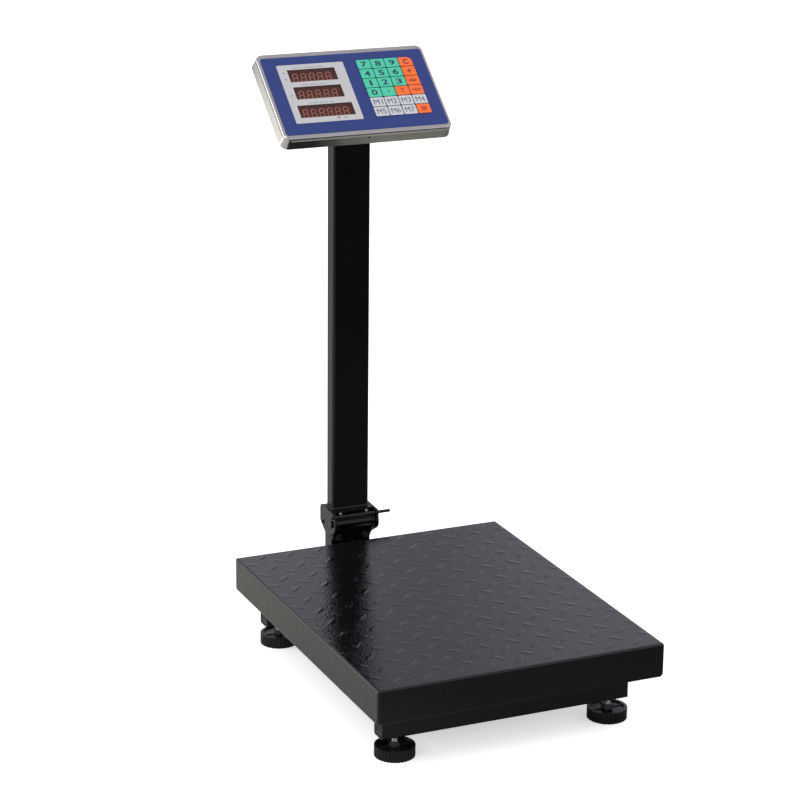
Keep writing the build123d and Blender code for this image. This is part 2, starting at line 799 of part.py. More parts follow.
with BuildPart() as rear_cover:
    with BuildSketch(head_plane.offset(-head_depth)):
        RectangleRounded(head_width - 12.0, head_height - 12.0, 6)
    extrude(amount=cover_flange)
    with BuildSketch(head_plane.offset(-head_depth)):
        RectangleRounded(rear_box_width, rear_box_height, 6)
    extrude(amount=head_depth - rear_box_depth)
    fillet(rear_cover.faces().sort_by(head_axis)[0].edges(), radius=2)
    with BuildSketch(head_plane.offset(cover_flange - head_depth)):
        RectangleRounded(rear_box_width - 2 * cover_wall, rear_box_height - 2 * cover_wall, 4)
    extrude(amount=head_depth - rear_box_depth + cover_wall - cover_flange, mode=Mode.SUBTRACT)
    # Posts that carry the main board, and bosses over the bracket plate's screws.
    with BuildSketch(head_plane.offset(-head_depth)):
        with Locations(*board_posts):
            Circle(post_radius)
    extrude(amount=head_depth + board_bottom)
    with BuildSketch(head_plane.offset(plate_top)):
        with Locations(*plate_screws):
            Circle(boss_radius)
    extrude(amount=cover_wall + boss_height)
    # Lugs on the upper wall that hold the switch rocker's pin, and the frame around its slot.
    with BuildSketch(head_plane.offset(-switch_depth - switch_height / 2 - switch_lug)):
        with Locations((switch_x, box_half - cover_wall - 3)):
            Rectangle(2 * switch_lug + 6, 6)
    extrude(amount=switch_height + 2 * switch_lug)
    slot_plane = Plane(
        origin=head_plane.from_local_coords((switch_x, box_half, -switch_depth)),
        x_dir=(1, 0, 0),
        z_dir=head_plane.y_dir,
    )
    with BuildSketch(slot_plane):
        RectangleRounded(switch_slot + 5, switch_height + 5, 2)
    extrude(amount=switch_frame)
    with BuildSketch(slot_plane.offset(switch_frame)):
        Rectangle(switch_slot, switch_height)
    extrude(amount=-12, mode=Mode.SUBTRACT)
    with BuildSketch(head_plane.offset(-switch_depth - switch_height)):
        with Locations((switch_x, pin_y)):
            Circle(switch_pin / 2 + fit_gap)
    extrude(amount=2 * switch_height, mode=Mode.SUBTRACT)
    with BuildSketch(head_plane.offset(plate_top)):
        with Locations(*plate_screws):
            Circle(m4 / 2 + thread_gap)
        with Locations((0, cable_slope(plate_top + cover_wall / 2))):
            Circle(cable_hole / 2)
    extrude(amount=cover_wall + boss_height + 1, mode=Mode.SUBTRACT)
    with BuildSketch(head_plane.offset(-head_depth)):
        with Locations(*post_places):
            Circle(m3 / 2 + screw_clearance)
    extrude(amount=cover_flange, mode=Mode.SUBTRACT)
save(rear_cover.part, "rear_cover")

behind_flange = Plane(
    origin=head_plane.from_local_coords((0, 0, -head_depth)), x_dir=(1, 0, 0), z_dir=-head_plane.z_dir
)
button_screws(
    "rear_cover_screws",
    behind_flange,
    [(x, -y) for x, y in post_places],
    shank=m3,
    length=10.0,
    head=6.0,
    head_height=1.8,
)

# ---- power switch rocker, drawn switched off -------------------------------------------------------
rocker_half = 7.6
rocker_low = 3.0
rocker_flush = 3.6
rocker_proud = 6.0
rocker_width = switch_height - 1.0

with BuildPart() as power_switch:
    with BuildSketch(head_plane.offset(-switch_depth - rocker_width / 2)):
        with BuildLine():
            Polyline(
                (switch_x - rocker_half, pin_y + rocker_proud),
                (switch_x, pin_y + rocker_flush),
                (switch_x + rocker_half, pin_y + rocker_flush),
                (switch_x + rocker_half - 2, pin_y - rocker_low),
                (switch_x - rocker_half + 2, pin_y - rocker_low),
                close=True,
            )
        make_face()
    extrude(amount=rocker_width)
    with BuildSketch(head_plane.offset(-switch_depth - rocker_width / 2 - switch_lug)):
        with Locations((switch_x, pin_y)):
            Circle(switch_pin / 2)
    extrude(amount=rocker_width + 2 * switch_lug)
save(power_switch.part, "power_switch")

# ---- battery ---------------------------------------------------------------------------------------
battery_x = -54.0
battery_width = 78.0
battery_height = 58.0
battery_depth = 20.0
battery_low = -rear_box_depth + cover_wall + 0.2
terminal_spread = 52.0
terminal_y = 20.0

with BuildPart() as battery:
    with BuildSketch(head_plane.offset(battery_low)):
        with Locations((battery_x, 0)):
            RectangleRounded(battery_width, battery_height, 2)
    extrude(amount=battery_depth)
    with BuildSketch(head_plane.offset(battery_low + battery_depth)):
        with Locations((battery_x, terminal_y)):
            with GridLocations(terminal_spread, 0, 2, 1):
                Rectangle(6, 5)
    extrude(amount=1.5)
save(battery.part, "battery")

# ---- signal cable, in two lengths either side of the folding hinge ---------------------------------
with BuildPart() as signal_cable_lower:
    with BuildLine() as lower_path:
        FilletPolyline(
            (0, cell_end, cell_bottom + 12),
            (0, cable_drop_y, cell_bottom + 12),
            (0, cable_drop_y, cable_run_z),
            (0, column_y, cable_run_z),
            (0, column_y, stub_top - 3),
            radius=9,
        )
    with BuildSketch(Plane(origin=lower_path.line @ 0, z_dir=lower_path.line % 0)):
        Circle(cable / 2)
    sweep()
save(signal_cable_lower.part, "signal_cable_lower")

cable_top = head_plane.from_local_coords((0, cable_slope(-20), -20)).Z

with BuildPart() as signal_cable_upper:
    with BuildSketch(Plane.XY.offset(bracket_top - 2)):
        with Locations((0, column_y)):
            Circle(cable / 2)
    extrude(amount=cable_top - bracket_top + 2)
save(signal_cable_upper.part, "signal_cable_upper")
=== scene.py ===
"""The looks of the platform shipping scale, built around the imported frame. Metres, +Z up."""

import json
from math import cos, pi, sin, sqrt, tau

import bmesh
import bpy
import numpy as np
from mathutils import Matrix, Quaternion, Vector


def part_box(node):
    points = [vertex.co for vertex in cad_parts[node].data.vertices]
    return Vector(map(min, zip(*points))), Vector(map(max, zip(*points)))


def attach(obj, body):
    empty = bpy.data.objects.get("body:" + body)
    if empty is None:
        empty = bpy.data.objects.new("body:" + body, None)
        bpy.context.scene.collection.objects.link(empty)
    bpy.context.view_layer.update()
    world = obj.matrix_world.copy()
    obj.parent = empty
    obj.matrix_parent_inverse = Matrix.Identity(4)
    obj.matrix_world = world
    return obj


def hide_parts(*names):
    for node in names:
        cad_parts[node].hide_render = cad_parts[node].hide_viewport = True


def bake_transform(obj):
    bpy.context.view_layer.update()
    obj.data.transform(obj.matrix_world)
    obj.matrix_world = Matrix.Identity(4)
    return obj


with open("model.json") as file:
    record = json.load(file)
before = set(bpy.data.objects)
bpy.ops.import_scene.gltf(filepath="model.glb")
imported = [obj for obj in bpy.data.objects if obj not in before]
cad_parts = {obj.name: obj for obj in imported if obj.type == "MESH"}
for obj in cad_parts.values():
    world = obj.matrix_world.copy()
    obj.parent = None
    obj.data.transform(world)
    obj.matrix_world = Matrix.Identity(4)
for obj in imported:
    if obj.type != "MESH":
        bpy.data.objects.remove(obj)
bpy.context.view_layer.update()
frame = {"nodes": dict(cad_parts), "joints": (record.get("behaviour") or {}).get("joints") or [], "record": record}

MM = 0.001
scene = bpy.context.scene
scene.view_settings.view_transform = "Standard"


# ---- places read from the frame --------------------------------------------------------------------
def extent(node, direction):
    """The least and the greatest reach of a CAD node along a direction."""
    reaches = [vertex.co.dot(direction) for vertex in frame["nodes"][node].data.vertices]
    return min(reaches), max(reaches)


joints = {joint["name"]: joint for joint in frame["joints"]}
outward = -Vector(joints["press_7"]["axis"]).normalized()
rightward = Vector((1, 0, 0))
upslope = outward.cross(rightward)
head_top = extent("head_shell", outward)[1]
head_middle = sum(extent("front_overlay", upslope)) / 2
head = Matrix.Translation(outward * head_top + upslope * head_middle) @ Matrix(
    [[rightward[i], upslope[i], outward[i], 0] for i in range(3)] + [[0, 0, 0, 1]]
)
to_head = head.inverted()


def head_box(node):
    """The lowest and highest corners of a CAD node in the head's own axes, with its face at height 0."""
    places = np.array([to_head @ vertex.co for vertex in frame["nodes"][node].data.vertices])
    return places.min(0), places.max(0)


# ---- mesh helpers ----------------------------------------------------------------------------------
def piece(name, mesh, body, material, smooth=True):
    """A finished mesh as a piece of the object, riding on a body and painted with a material."""
    mesh.materials.clear()
    mesh.materials.append(material)
    mesh.polygons.foreach_set("use_smooth", [smooth] * len(mesh.polygons))
    made = bpy.data.objects.new(name, mesh)
    scene.collection.objects.link(made)
    if body:
        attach(made, body)
    return made


def mesh_of(name, points, faces):
    """A mesh from points and faces, with its normals turned outwards."""
    mesh = bpy.data.meshes.new(name)
    mesh.from_pydata([tuple(point) for point in points], [], faces)
    shape = bmesh.new()
    shape.from_mesh(mesh)
    bmesh.ops.recalc_face_normals(shape, faces=shape.faces)
    shape.to_mesh(mesh)
    shape.free()
    return mesh


def merge(shape, distance):
    """Join the points of a bmesh that lie within a distance, and drop the slivers this leaves."""
    bmesh.ops.remove_doubles(shape, verts=shape.verts, dist=distance)
    bmesh.ops.dissolve_degenerate(shape, edges=shape.edges, dist=distance)


def skin(rings):
    """Points and faces of a skin over rings of equal point counts, closed at both ends."""
    count = len(rings[0])
    points = [point for ring in rings for point in ring]
    faces = []
    for row in range(len(rings) - 1):
        for spot in range(count):
            after = (spot + 1) % count
            low, high = row * count, (row + 1) * count
            faces.append((low + spot, low + after, high + after, high + spot))
    faces.append(tuple(reversed(range(count))))
    faces.append(tuple(range(len(points) - count, len(points))))
    return points, faces


def tube(path, radius, sides):
    """Points and faces of a round tube; radius is one number, or a function of the distance along it."""
    path = [Vector(point) for point in path]
    size = radius if callable(radius) else (lambda distance: radius)
    side = None
    distance = 0.0
    rings = []
    for spot, point in enumerate(path):
        before = path[max(spot - 1, 0)]
        after = path[min(spot + 1, len(path) - 1)]
        along = (after - before).normalized()
        if side is None:
            side = along.orthogonal().normalized()
        side = (side - along * side.dot(along)).normalized()
        other = along.cross(side)
        distance += (point - path[spot - 1]).length if spot else 0.0
        reach = size(distance)
        turns = [tau * step / sides for step in range(sides)]
        rings.append([point + reach * (cos(turn) * side + sin(turn) * other) for turn in turns])
    return skin(rings)


def spread(corners, step):
    """Points about one step apart along straight lines between corners."""
    corners = [Vector(corner) for corner in corners]
    points = []
    for start, end in zip(corners, corners[1:]):
        count = max(1, round((end - start).length / step))
        points += [start.lerp(end, part / count) for part in range(count)]
    return points + [corners[-1]]


def joined(shapes):
    """Several (points, faces) shapes as one."""
    points, faces = [], []
    for more_points, more_faces in shapes:
        base = len(points)
        points += list(more_points)
        faces += [tuple(base + corner for corner in face) for face in more_faces]
    return points, faces


def plate(outline, low, high):
    """Points and faces of a flat plate over an outline, from height low to height high."""
    return skin([[Vector((x, y, low)) for x, y in outline], [Vector((x, y, high)) for x, y in outline]])


def rounded_outline(low_x, low_y, high_x, high_y, radii, steps=5):
    """A rectangle's outline with a radius for each corner, from the lower left one anticlockwise."""
    centres = []
    for sign_x, sign_y, radius in zip((-1, 1, 1, -1), (-1, -1, 1, 1), radii):
        x = high_x - radius if sign_x > 0 else low_x + radius
        y = high_y - radius if sign_y > 0 else low_y + radius
        centres.append((x, y, radius))
    outline = []
    for corner, (x, y, radius) in enumerate(centres):
        for step in range(steps + 1):
            turn = pi + (corner + step / steps) * pi / 2
            outline.append((x + radius * cos(turn), y + radius * sin(turn)))
    return outline


def on_head(shape):
    """A shape drawn in the head's own axes, moved to where the head is."""
    points, faces = shape
    return [head @ Vector(point) for point in points], faces


# ---- material helpers ------------------------------------------------------------------------------
def recipe(name, colour, roughness, metal=0.0):
    """A new material with its node tree and its surface shader."""
    material = bpy.data.materials.new(name)
    material.use_nodes = True
    material.diffuse_color = (*colour, 1)
    tree = material.node_tree
    shader = tree.nodes["Principled BSDF"]
    shader.inputs["Base Color"].default_value = (*colour, 1)
    shader.inputs["Roughness"].default_value = roughness
    shader.inputs["Metallic"].default_value = metal
    return material, tree, shader


def add(tree, kind, inputs=None, **settings):
    """A new node. Each input is a value, or an output socket to link."""
    made = tree.nodes.new(kind)
    for name, value in settings.items():
        setattr(made, name, value)
    for name, value in (inputs or {}).items():
        if isinstance(value, bpy.types.NodeSocket):
            tree.links.new(value, made.inputs[name])
        else:
            made.inputs[name].default_value = value
    return made


def grain(tree, size, detail=2.0, stretch=(1, 1, 1)):
    """Noise whose features are about size metres across, drawn out along an axis by its stretch."""
    place = add(tree, "ShaderNodeTexCoord").outputs["Object"]
    scale = [1 / (size * pull) for pull in stretch]
    mapped = add(tree, "ShaderNodeMapping", {"Vector": place, "Scale": scale}).outputs[0]
    noise = add(tree, "ShaderNodeTexNoise", {"Vector": mapped, "Scale": 1.0, "Detail": detail})
    return noise.outputs[0]


def remap(tree, value, low, high, start=0.35, end=0.65):
    """A value between start and end as one between low and high."""
    return add(
        tree,
        "ShaderNodeMapRange",
        {"Value": value, "From Min": start, "From Max": end, "To Min": low, "To Max": high},
    ).outputs[0]


def mixed(tree, share, first, second):
    """Two colours mixed by a share."""
    made = add(tree, "ShaderNodeMix", {"Factor": share}, data_type="RGBA")
    for slot_number, colour in ((6, first), (7, second)):
        if isinstance(colour, bpy.types.NodeSocket):
            tree.links.new(colour, made.inputs[slot_number])
        else:
            made.inputs[slot_number].default_value = (*colour, 1)
    return made.outputs[2]


def edge_share(tree, radius, size=0.004):
    """Near 1 along sharp edges, broken up by noise, and 0 elsewhere."""
    bent = add(tree, "ShaderNodeBevel", {"Radius": radius}, samples=4).outputs[0]
    flat = add(tree, "ShaderNodeNewGeometry").outputs["Normal"]
    dot = add(tree, "ShaderNodeVectorMath", {0: bent, 1: flat}, operation="DOT_PRODUCT")
    near = remap(tree, dot.outputs["Value"], 1.0, 0.0, 0.8, 0.98)
    broken = remap(tree, grain(tree, size, 4.0), 0.0, 1.0, 0.5, 0.62)
    return add(tree, "ShaderNodeMath", {0: near, 1: broken}, operation="MULTIPLY").outputs[0]


def finish_surface(tree, shader, bumps=(), edge=0.0):
    """Soft edges of radius edge, under a chain of (height, distance) bumps."""
    normal = None
    if edge:
        normal = add(tree, "ShaderNodeBevel", {"Radius": edge}, samples=4).outputs[0]
    for height, distance in bumps:
        inputs = {"Height": height, "Distance": distance, "Strength": 1.0}
        if normal:
            inputs["Normal"] = normal
        normal = add(tree, "ShaderNodeBump", inputs).outputs[0]
    if normal:
        tree.links.new(normal, shader.inputs["Normal"])


def link(tree, value, shader, name):
    """Feed a socket into one of the shader's inputs."""
    tree.links.new(value, shader.inputs[name])


# ---- materials, one function for each finish -------------------------------------------------------
def painted(name, colour, roughness, peel, peel_depth, specular, edge):
    """Black paint: orange peel of a given size, slightly uneven gloss and a little wear on edges."""
    wear = (0.16, 0.15, 0.14)
    material, tree, shader = recipe(name, colour, roughness)
    cloud = grain(tree, 0.05, 3.0)
    link(tree, remap(tree, cloud, roughness * 0.88, roughness * 1.15), shader, "Roughness")
    dusty = tuple(channel * 1.4 for channel in colour)
    dusted = mixed(tree, remap(tree, grain(tree, 0.012, 5.0), 0.0, 1.0, 0.4, 0.75), colour, dusty)
    worn = mixed(tree, edge_share(tree, 0.0006), dusted, wear)
    link(tree, worn, shader, "Base Color")
    shader.inputs["Specular IOR Level"].default_value = specular
    ripples = (grain(tree, peel, 1.5), peel_depth)
    pores = (grain(tree, peel / 5, 2.0), peel_depth / 8)
    finish_surface(tree, shader, [ripples, pores], edge)
    return material


def blackened(name):
    """Blackened steel, polished by use, with bright worn edges."""
    black = (0.012, 0.012, 0.013)
    bare = (0.35, 0.34, 0.33)
    material, tree, shader = recipe(name, black, 0.2, 0.3)
    link(tree, remap(tree, grain(tree, 0.006, 4.0), 0.12, 0.34), shader, "Roughness")
    worn = mixed(tree, edge_share(tree, 0.0008, 0.002), black, bare)
    link(tree, worn, shader, "Base Color")
    finish_surface(tree, shader, [(grain(tree, 0.0012, 3.0), 0.00002)], 0.0004)
    return material


def brushed(name, colour, roughness, lines, stretch, edge, cloud=0.04):
    """Bare metal with fine lines drawn out along one axis and cloudy polish."""
    material, tree, shader = recipe(name, colour, roughness, 1.0)
    link(tree, remap(tree, grain(tree, cloud, 3.0), roughness * 0.75, roughness * 1.4), shader, "Roughness")
    streak = grain(tree, lines, 3.0, stretch)
    darker = tuple(channel * 0.82 for channel in colour)
    link(tree, mixed(tree, remap(tree, streak, 0.0, 1.0), colour, darker), shader, "Base Color")
    shader.inputs["Anisotropic"].default_value = 0.4
    finish_surface(tree, shader, [(streak, 0.000012)], edge)
    return material


def plastic(name, colour, roughness, grain_size, depth, edge=0.0003, patch=0.75):
    """Moulded or printed plastic: fine surface grain, slightly uneven colour and gloss."""
    material, tree, shader = recipe(name, colour, roughness)
    dull = tuple(channel * patch for channel in colour)
    link(tree, mixed(tree, remap(tree, grain(tree, 0.02, 5.0), 0.0, 0.6), colour, dull), shader, "Base Color")
    link(tree, remap(tree, grain(tree, 0.03, 3.0), roughness * 0.8, roughness * 1.25), shader, "Roughness")
    finish_surface(tree, shader, [(grain(tree, grain_size, 2.0), depth)], edge)
    return material


def smoked(name):
    """Thin smoked plastic: tinted straight through, with a clear gloss that grows at low angles."""
    material, tree = recipe(name, (0.05, 0.022, 0.02), 0.06)[:2]
    through = add(tree, "ShaderNodeBsdfTransparent", {"Color": (0.86, 0.74, 0.70, 1)})
    haze = grain(tree, 0.01, 4.0)
    gloss = add(tree, "ShaderNodeBsdfGlossy", {"Color": (0.8, 0.8, 0.8, 1)})
    tree.links.new(remap(tree, haze, 0.05, 0.14), gloss.inputs["Roughness"])
    fresnel = add(tree, "ShaderNodeFresnel", {"IOR": 1.45}).outputs[0]
    # Only the outer face shines: from inside the pane, the slanted view would meet a mirror.
    back = add(tree, "ShaderNodeNewGeometry").outputs["Backfacing"]
    front = add(tree, "ShaderNodeMath", {0: 1.0, 1: back}, operation="SUBTRACT").outputs[0]
    share = add(tree, "ShaderNodeMath", {0: fresnel, 1: front}, operation="MULTIPLY").outputs[0]
    both = add(tree, "ShaderNodeMixShader", {0: share, 1: through.outputs[0], 2: gloss.outputs[0]})
    tree.links.new(both.outputs[0], tree.nodes["Material Output"].inputs["Surface"])
    return material


ENAMEL = painted("deck_enamel", (0.0008, 0.0008, 0.0009), 0.07, 0.003, 0.00026, 0.5, 0.0)
FRAME_PAINT = painted("frame_paint", (0.0026, 0.0026, 0.0022), 0.26, 0.0022, 0.00005, 0.4, 0.0005)
COLUMN_PAINT = painted("column_paint", (0.0010, 0.0010, 0.0011), 0.2, 0.0009, 0.00002, 0.36, 0.0004)
WELD = painted("weld_paint", (0.0042, 0.0042, 0.004), 0.3, 0.0012, 0.00008, 0.45, 0.0)
BLACK_STEEL = blackened("blackened_steel")
STAINLESS = brushed("stainless_sheet", (0.62, 0.60, 0.575), 0.15, 0.0005, (60, 1, 1), 0.0)
ZINC = brushed("zinc_plate", (0.70, 0.71, 0.73), 0.26, 0.0006, (1, 1, 6), 0.0002, 0.006)
CELL = brushed("cell_aluminium", (0.72, 0.72, 0.73), 0.32, 0.0006, (1, 30, 1), 0.0004)
RUBBER = plastic("pad_rubber", (0.022, 0.022, 0.022), 0.75, 0.0009, 0.00008)
FOOT = plastic("foot_plastic", (0.0035, 0.0035, 0.0035), 0.34, 0.0008, 0.00004)
FILM = plastic("overlay_film", (0.011, 0.032, 0.178), 0.4, 0.0005, 0.000012, 0.0002, 0.9)
# Dark navy for the plate under the keys: painted shade, so the gaps between the keys look dark.
KEY_GAP_SHADE = plastic("painted_key_gap_shade", (0.006, 0.03, 0.06), 0.45, 0.0005, 0.00001, 0.0, 0.9)
PANEL = plastic("display_print", (0.46, 0.46, 0.48), 0.42, 0.0005, 0.00001, 0.0002, 0.95)
SMOKED = smoked("smoked_window")
DIGIT_BLOCK = plastic("digit_block", (0.085, 0.040, 0.034), 0.5, 0.0008, 0.00002)
SEGMENT = plastic("unlit_segment", (0.52, 0.31, 0.26), 0.4, 0.0006, 0.00001, 0.0, 0.9)
BOARD = plastic("solder_mask", (0.03, 0.16, 0.07), 0.35, 0.0006, 0.00003)
BATTERY = plastic("battery_case", (0.05, 0.05, 0.055), 0.5, 0.001, 0.00004)
COVER = plastic("cover_plastic", (0.022, 0.022, 0.023), 0.5, 0.0007, 0.00007)
SWITCH = plastic("switch_plastic", (0.012, 0.012, 0.012), 0.22, 0.001, 0.00001)
JACKET = plastic("cable_jacket", (0.03, 0.03, 0.031), 0.5, 0.001, 0.00003)
PLUG = plastic("beam_plug", (0.012, 0.012, 0.012), 0.55, 0.0009, 0.00005)
TEAL = plastic("key_teal", (0.055, 0.50, 0.33), 0.36, 0.0005, 0.00001, 0.0003, 0.94)
ORANGE = plastic("key_orange", (0.86, 0.14, 0.02), 0.36, 0.0005, 0.00001, 0.0003, 0.94)
PALE = plastic("key_pale", (0.50, 0.51, 0.55), 0.36, 0.0005, 0.00001, 0.0003, 0.96)
INK_NAVY = plastic("ink_navy", (0.012, 0.035, 0.10), 0.4, 0.0004, 0.00001, 0.0, 0.9)
INK_RED = plastic("ink_red", (0.27, 0.015, 0.01), 0.4, 0.0004, 0.00001, 0.0, 0.9)
INK_GREY = plastic("ink_grey", (0.05, 0.055, 0.075), 0.4, 0.0004, 0.00001, 0.0, 0.9)
INK_FAINT = plastic("ink_faint", (0.15, 0.16, 0.24), 0.45, 0.0004, 0.00001, 0.0, 0.9)

FINISHES = {
    "deck_paint": ENAMEL,
    "frame_paint": FRAME_PAINT,
    "column_paint": COLUMN_PAINT,
    "blackened_steel": BLACK_STEEL,
    "cell_aluminium": CELL,
    "zinc_steel": ZINC,
    "pad_rubber": RUBBER,
    "foot_plastic": FOOT,
    "stainless": STAINLESS,
    "overlay_film": FILM,
    "display_frame": PANEL,
    "smoked_window": SMOKED,
    "digit_block": DIGIT_BLOCK,
    "circuit_board": BOARD,
    "battery_case": BATTERY,
    "cover_plastic": COVER,
    "switch_plastic": SWITCH,
    "cable_jacket": JACKET,
    "key_teal": TEAL,
    "key_orange": ORANGE,
    "key_pale": PALE,
}

for subpart in frame["record"]["subparts"]:
    cad_object = frame["nodes"][subpart["node"]]
    finish = FINISHES[subpart["material_slot"]]
    if not cad_object.material_slots:
        cad_object.data.materials.append(finish)
    for material_slot in cad_object.material_slots:
        material_slot.material = finish


# ---- deck: embossed tread plate folded down on four sides --------------------------------------------
deck_low, deck_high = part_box("deck_cover")
deck_size = deck_high - deck_low
sheet = 3 * MM
bend = 2.8 * MM
lug_pitch = 42.2 * MM
lug_length = 26 * MM
lug_width = 6.4 * MM
lug_height = 0.24 * MM
lug_start = Vector((-18.5, -18.8)) * MM
mesh_step = 1.8 * MM
corner_trim = 3.5 * MM
seam_depth = 0.45 * MM
fade_length = 4 * MM


def soft_step(value):
    """0 below 0 and 1 above 1, turning smoothly between."""
    value = np.clip(value, 0, 1)
    return value * value * (3 - 2 * value)


def lug_rise(u, v):
    """Height of the tread pattern at points of the flat sheet: two lattices of crossed lens shapes."""
    rise = np.zeros(np.broadcast(u, v).shape)
    for shift, turn in ((0.0, -1.0), (0.5, 1.0)):
        a = (u - lug_start.x) / lug_pitch + shift
        b = (v - lug_start.y) / lug_pitch + shift
        du = (a - np.round(a)) * lug_pitch
        dv = (b - np.round(b)) * lug_pitch
        along = (du + turn * dv) / sqrt(2) / (lug_length / 2)
        across = (du - turn * dv) / sqrt(2) / (lug_width / 2)
        crown = np.clip(1 - along**2 - across**2, 0, 1)
        rise = np.maximum(rise, lug_height * soft_step(crown * 1.25))
    return rise


def span(low, high):
    """Places from low to high, closer together near both ends, where the sheet bends."""
    close = [low + part * bend / 4 for part in range(5)]
    count = round((high - low - 2 * bend) / mesh_step)
    middle = list(np.linspace(low + bend, high - bend, count + 1))
    return np.array(close[:-1] + middle + [low + high - place for place in reversed(close[:-1])])


def deck_panel(first, second, place_of):
    """Points of one panel of the tray, pushed out by the tread pattern."""
    a, b = np.meshgrid(first, second, indexing="ij")
    x, y, z, u, v, fade = place_of(a, b)
    flat = np.stack([x, y, z], -1)
    low = np.array([deck_low.x + bend, deck_low.y + bend, -1.0])
    high = np.array([deck_high.x - bend, deck_high.y - bend, deck_high.z - bend])
    core = np.clip(flat, low, high)
    way = flat - core
    way /= np.linalg.norm(way, axis=-1, keepdims=True)
    # A shallow seam runs down the middle of each rounded corner.
    off_corner = np.abs(np.abs(way[..., 0]) - np.abs(way[..., 1]))
    seam = seam_depth * np.exp(-((off_corner / 0.22) ** 2)) * (np.abs(way[..., 2]) < 0.3)
    seam *= (np.abs(way[..., 0]) > 0.05) & (np.abs(way[..., 1]) > 0.05)
    rise = lug_rise(u, v) * fade - seam
    return core + way * (bend + rise)[..., None]


def top_panel(a, b):
    """The deck's top, over x and y."""
    edge = np.minimum(
        np.minimum(a - deck_low.x, deck_high.x - a), np.minimum(b - deck_low.y, deck_high.y - b)
    )
    return a, b, np.full_like(a, deck_high.z), a, b, soft_step((edge - bend) / fade_length)


def skirt_panel(axis, side):
    """One skirt, over the distance along it and the depth below the top."""
    low, high = deck_low[1 - axis], deck_high[1 - axis]

    def place_of(along, depth):
        end = np.minimum(along - low, high - along)
        trim = corner_trim * (1 - soft_step(end / (5 * MM)))
        deep = depth * (1 - trim / deck_size.z)
        z = deck_high.z - deep
        face = np.full_like(along, deck_high[axis] if side > 0 else deck_low[axis])
        unfolded = face + side * deep
        fade = 0.55 * soft_step((depth - bend) / fade_length) * soft_step((end - bend) / fade_length)
        if axis == 0:
            return face, along, z, unfolded, along, fade
        return along, face, z, along, unfolded, fade

    return place_of


def tread_deck():
    """The whole tray: embossed outside, plain inside, closed along the bottom rim."""
    along_x = span(deck_low.x, deck_high.x)
    along_y = span(deck_low.y, deck_high.y)
    close = [part * bend / 4 for part in range(4)]
    rows = round((deck_size.z - bend) / mesh_step)
    depth = np.array(close + list(np.linspace(bend, deck_size.z, rows + 1)))
    panels = [deck_panel(along_x, along_y, top_panel)]
    for axis, along in ((0, along_y), (1, along_x)):
        for side in (-1, 1):
            panels.append(deck_panel(along, depth, skirt_panel(axis, side)))
    points = np.concatenate([panel.reshape(-1, 3) for panel in panels])
    faces = []
    base = 0
    for panel in panels:
        rows, columns = panel.shape[:2]
        numbers = base + np.arange(rows * columns).reshape(rows, columns)
        corners = [numbers[:-1, :-1], numbers[1:, :-1], numbers[1:, 1:], numbers[:-1, 1:]]
        faces.append(np.stack([corner.ravel() for corner in corners], -1))
        base += rows * columns
    mesh = bpy.data.meshes.new("deck_tread_plate")
    mesh.from_pydata(points.tolist(), [], np.concatenate(faces).tolist())
    shape = bmesh.new()
    shape.from_mesh(mesh)
    merge(shape, 0.02 * MM)
    close_tray(shape)
    bmesh.ops.recalc_face_normals(shape, faces=shape.faces)
    shape.to_mesh(mesh)
    shape.free()
    return mesh


def close_tray(shape):
    """Turn the bottom rim inwards by the sheet's thickness, up inside the skirts and across."""

    def grow(edges, place_of):
        made = bmesh.ops.extrude_edge_only(shape, edges=edges)["geom"]
        for vertex in [item for item in made if isinstance(item, bmesh.types.BMVert)]:
            vertex.co = place_of(vertex.co)
        return [item for item in made if isinstance(item, bmesh.types.BMEdge)]

    def inset(place):
        x = min(max(place.x, deck_low.x + sheet), deck_high.x - sheet)
        y = min(max(place.y, deck_low.y + sheet), deck_high.y - sheet)
        # Just short of the full sheet, so that a rounded corner's points stay apart.
        return place.lerp(Vector((x, y, place.z)), 0.98)

    rim = [edge for edge in shape.edges if edge.is_boundary]
    inner = grow(rim, inset)
    ceiling = grow(inner, lambda place: Vector((place.x, place.y, deck_high.z - sheet)))
    bmesh.ops.contextual_create(shape, geom=ceiling)


deck = piece("deck_tread_plate", tread_deck(), "deck", ENAMEL)
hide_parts("deck_cover")


# ---- screw feet: threaded studs --------------------------------------------------------------------
thread_pitch = 1.25 * MM
thread_depth = 0.65 * MM
thread_sides = 24


def threaded_stud(name):
    """A stud whose radius follows a helix, tapering in at both ends."""
    low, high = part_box(f"foot_stud_{name}")
    middle = (low + high) / 2
    outer = (high.x - low.x) / 2
    count = round((high.z - low.z) / (thread_pitch / 8))
    rings = []
    for row in range(count + 1):
        z = low.z + (high.z - low.z) * row / count
        ends = min(z - low.z, high.z - z) / thread_pitch
        limit = outer - thread_depth * max(0.0, 1 - ends)
        ring = []
        for step in range(thread_sides):
            share = (z / thread_pitch - step / thread_sides) % 1.0
            tooth = min(1.0, max(0.0, abs(share * 2 - 1) * 1.4 - 0.2))
            reach = min(limit, outer - thread_depth * tooth)
            turn = tau * step / thread_sides
            ring.append(Vector((middle.x + reach * cos(turn), middle.y + reach * sin(turn), z)))
        rings.append(ring)
    mesh = mesh_of(f"thread_{name}", *skin(rings))
    made = piece(f"thread_{name}", mesh, f"stud_{name}", ZINC)
    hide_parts(f"foot_stud_{name}")


for foot_name in ("front_left", "front_right", "rear_left", "rear_right"):
    threaded_stud(foot_name)


# ---- plugs in the ends of the cross-beams ------------------------------------------------------------
base_low, base_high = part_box("base_frame")
beam_wall = 2 * MM
beam_tall = 38 * MM
beam_deep = 25 * MM
plug_play = 0.1 * MM
plug_corner = 1.2 * MM
# From the plug's inner end to its dished face: how far inside the beam's end, and how far in from the wall.
PLUG_PROFILE = ((12, 0.6), (9, 0.0), (0.9, 0.0), (0.2, 0.7), (0.2, 2.2), (1.0, 3.4), (1.0, 7.0))


